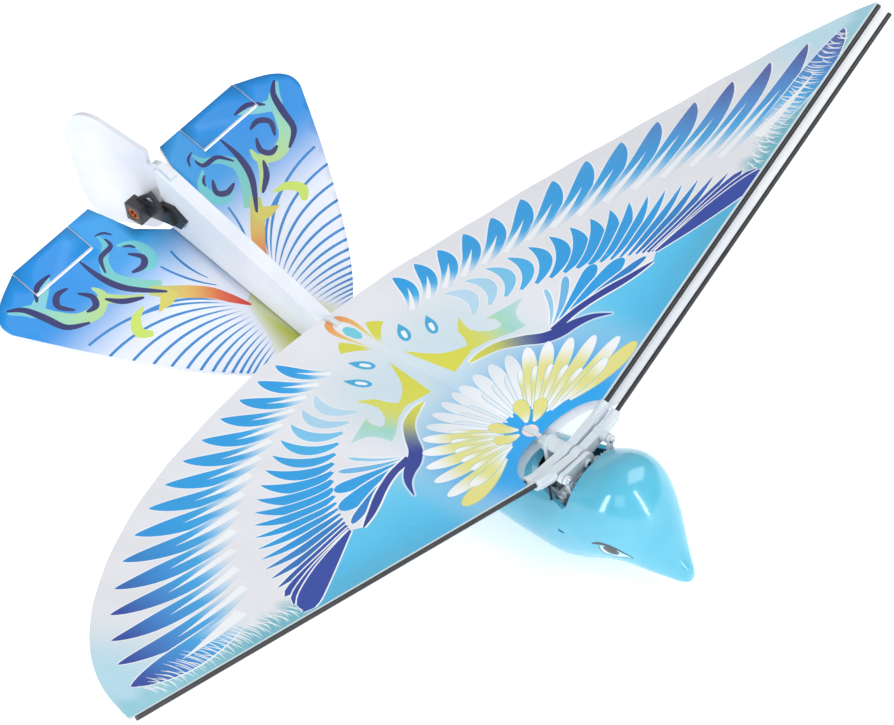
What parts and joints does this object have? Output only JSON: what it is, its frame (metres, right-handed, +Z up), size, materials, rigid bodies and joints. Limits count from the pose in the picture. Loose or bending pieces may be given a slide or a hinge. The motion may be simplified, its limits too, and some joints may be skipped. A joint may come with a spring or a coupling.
{
  "type": "flapping-wing toy bird",
  "caption": "Battery-powered flapping bird toy: teal body pod with a gearbox, two crossing wing levers with carbon rods, printed film wings, foam keel, tail plates and rudder.",
  "frame": {"origin": "on the flat under the belly that the bird stands on, straight below the axle of the wing levers", "axes": "+X forward to the beak, +Y to the left wing, +Z up"},
  "size_m": [0.2474, 0.343, 0.0771],
  "materials": {
    "pod_shell": "gloss",
    "nylon": "satin",
    "carbon": "satin",
    "steel": "polished",
    "brass_pinion": "satin",
    "printed_film": "gloss",
    "plain_film": "gloss",
    "foam": "matte",
    "printed_foam": "satin",
    "black_plastic": "satin",
    "copper_coil": "satin",
    "battery_wrap": "satin",
    "board": "satin"
  },
  "bodies": {
    "fuselage": {"pod_upper": "pod_shell", "pod_lower": "pod_shell", "gearbox_front_plate": "nylon", "gearbox_rear_plate": "nylon", "lever_axle": "steel", "axle_cap": "nylon", "crank_axles": "steel", "reduction_axle": "steel", "gearbox_screws": "steel", "motor_can": "steel", "motor_end_cap": "black_plastic", "keel": "foam", "film_clip": "nylon", "tail_plate_left": "printed_foam", "tail_plate_right": "printed_foam", "rudder_wire": "steel", "rudder_lugs": "nylon", "actuator_frame": "black_plastic", "actuator_coil": "copper_coil", "battery": "battery_wrap", "receiver_board": "board", "charging_socket": "black_plastic", "switch_body": "black_plastic", "pod_screws": "steel", "antenna_lead": "black_plastic"},
    "rear_wing": {"rear_lever": "nylon", "rear_rocker": "nylon", "con_rod_pin_right": "steel", "rod_left_upper": "carbon", "rod_right_lower": "carbon", "film_left_upper": "printed_film", "film_right_lower": "plain_film"},
    "front_wing": {"front_lever": "nylon", "con_rod_pin_left": "steel", "rod_right_upper": "carbon", "rod_left_lower": "carbon", "film_right_upper": "printed_film", "film_left_lower": "plain_film"},
    "left_con_rod": {"con_rod_left": "nylon"},
    "right_con_rod": {"con_rod_right": "nylon"},
    "left_crank": {"crank_gear_left": "nylon"},
    "right_crank": {"crank_gear_right": "nylon"},
    "reduction": {"reduction_gear": "nylon"},
    "rotor": {"motor_shaft": "steel", "motor_pinion": "brass_pinion"},
    "rudder": {"rudder_fin": "foam", "rudder_magnet": "steel"},
    "left_tab": {"trim_tab_left": "printed_foam"},
    "right_tab": {"trim_tab_right": "printed_foam"},
    "switch_thumb": {"switch_slider": "black_plastic"}
  },
  "joints": [
    {"name": "flap", "type": "hinge", "parent": "fuselage", "child": "rear_wing", "pos_m": [0, 0, 0.034], "axis": [1, 0, 0], "range_deg": [0, 22]},
    {"name": "front_flap", "type": "hinge", "parent": "fuselage", "child": "front_wing", "pos_m": [0, 0, 0.034], "axis": [1, 0, 0], "range_deg": [-22, 0]},
    {"name": "con_rod_left_turn", "type": "hinge", "parent": "front_wing", "child": "left_con_rod", "pos_m": [0.0063, 0.01, 0.036], "axis": [1, 0, 0], "range_deg": [0, 22]},
    {"name": "con_rod_right_turn", "type": "hinge", "parent": "rear_wing", "child": "right_con_rod", "pos_m": [0.0063, -0.01, 0.036], "axis": [1, 0, 0], "range_deg": [-22, 0]},
    {"name": "crank_left_spin", "type": "hinge", "parent": "fuselage", "child": "left_crank", "pos_m": [0.0037, 0.007, 0.0215], "axis": [1, 0, 0], "range_deg": [0, 180]},
    {"name": "crank_right_spin", "type": "hinge", "parent": "fuselage", "child": "right_crank", "pos_m": [0.0037, -0.007, 0.0215], "axis": [1, 0, 0], "range_deg": [-180, 0]},
    {"name": "reduction_spin", "type": "hinge", "parent": "fuselage", "child": "reduction", "pos_m": [-0.0061, 0.00288, 0.01294], "axis": [1, 0, 0], "range_deg": [-504, 0]},
    {"name": "motor_spin", "type": "hinge", "parent": "fuselage", "child": "rotor", "pos_m": [-0.0061, -0.00612, 0.01294], "axis": [1, 0, 0], "range_deg": [0, 2016]},
    {"name": "rudder_swing", "type": "hinge", "parent": "fuselage", "child": "rudder", "pos_m": [-0.1636, 0, 0.0534], "axis": [0, 0, 1], "range_deg": [-18, 18]},
    {"name": "left_tab_bend", "type": "hinge", "parent": "fuselage", "child": "left_tab", "pos_m": [-0.17177, 0.03825, 0.04473], "axis": [0, 1, 0], "range_deg": [-15, 15]},
    {"name": "right_tab_bend", "type": "hinge", "parent": "fuselage", "child": "right_tab", "pos_m": [-0.17177, -0.03825, 0.04473], "axis": [0, 1, 0], "range_deg": [-15, 15]},
    {"name": "switch_travel", "type": "slide", "parent": "fuselage", "child": "switch_thumb", "axis": [1, 0, 0], "range_m": [0, 0.002]}
  ],
  "couplings": [
    {"joint": "front_flap", "follows": "flap", "ratio": -1},
    {"joint": "con_rod_left_turn", "follows": "flap", "ratio": 0.99573},
    {"joint": "con_rod_right_turn", "follows": "flap", "ratio": -0.99573},
    {"joint": "crank_left_spin", "follows": "flap", "ratio": 8.18},
    {"joint": "crank_right_spin", "follows": "flap", "ratio": -8.18},
    {"joint": "reduction_spin", "follows": "flap", "ratio": -22.904},
    {"joint": "motor_spin", "follows": "flap", "ratio": 91.616}
  ]
}
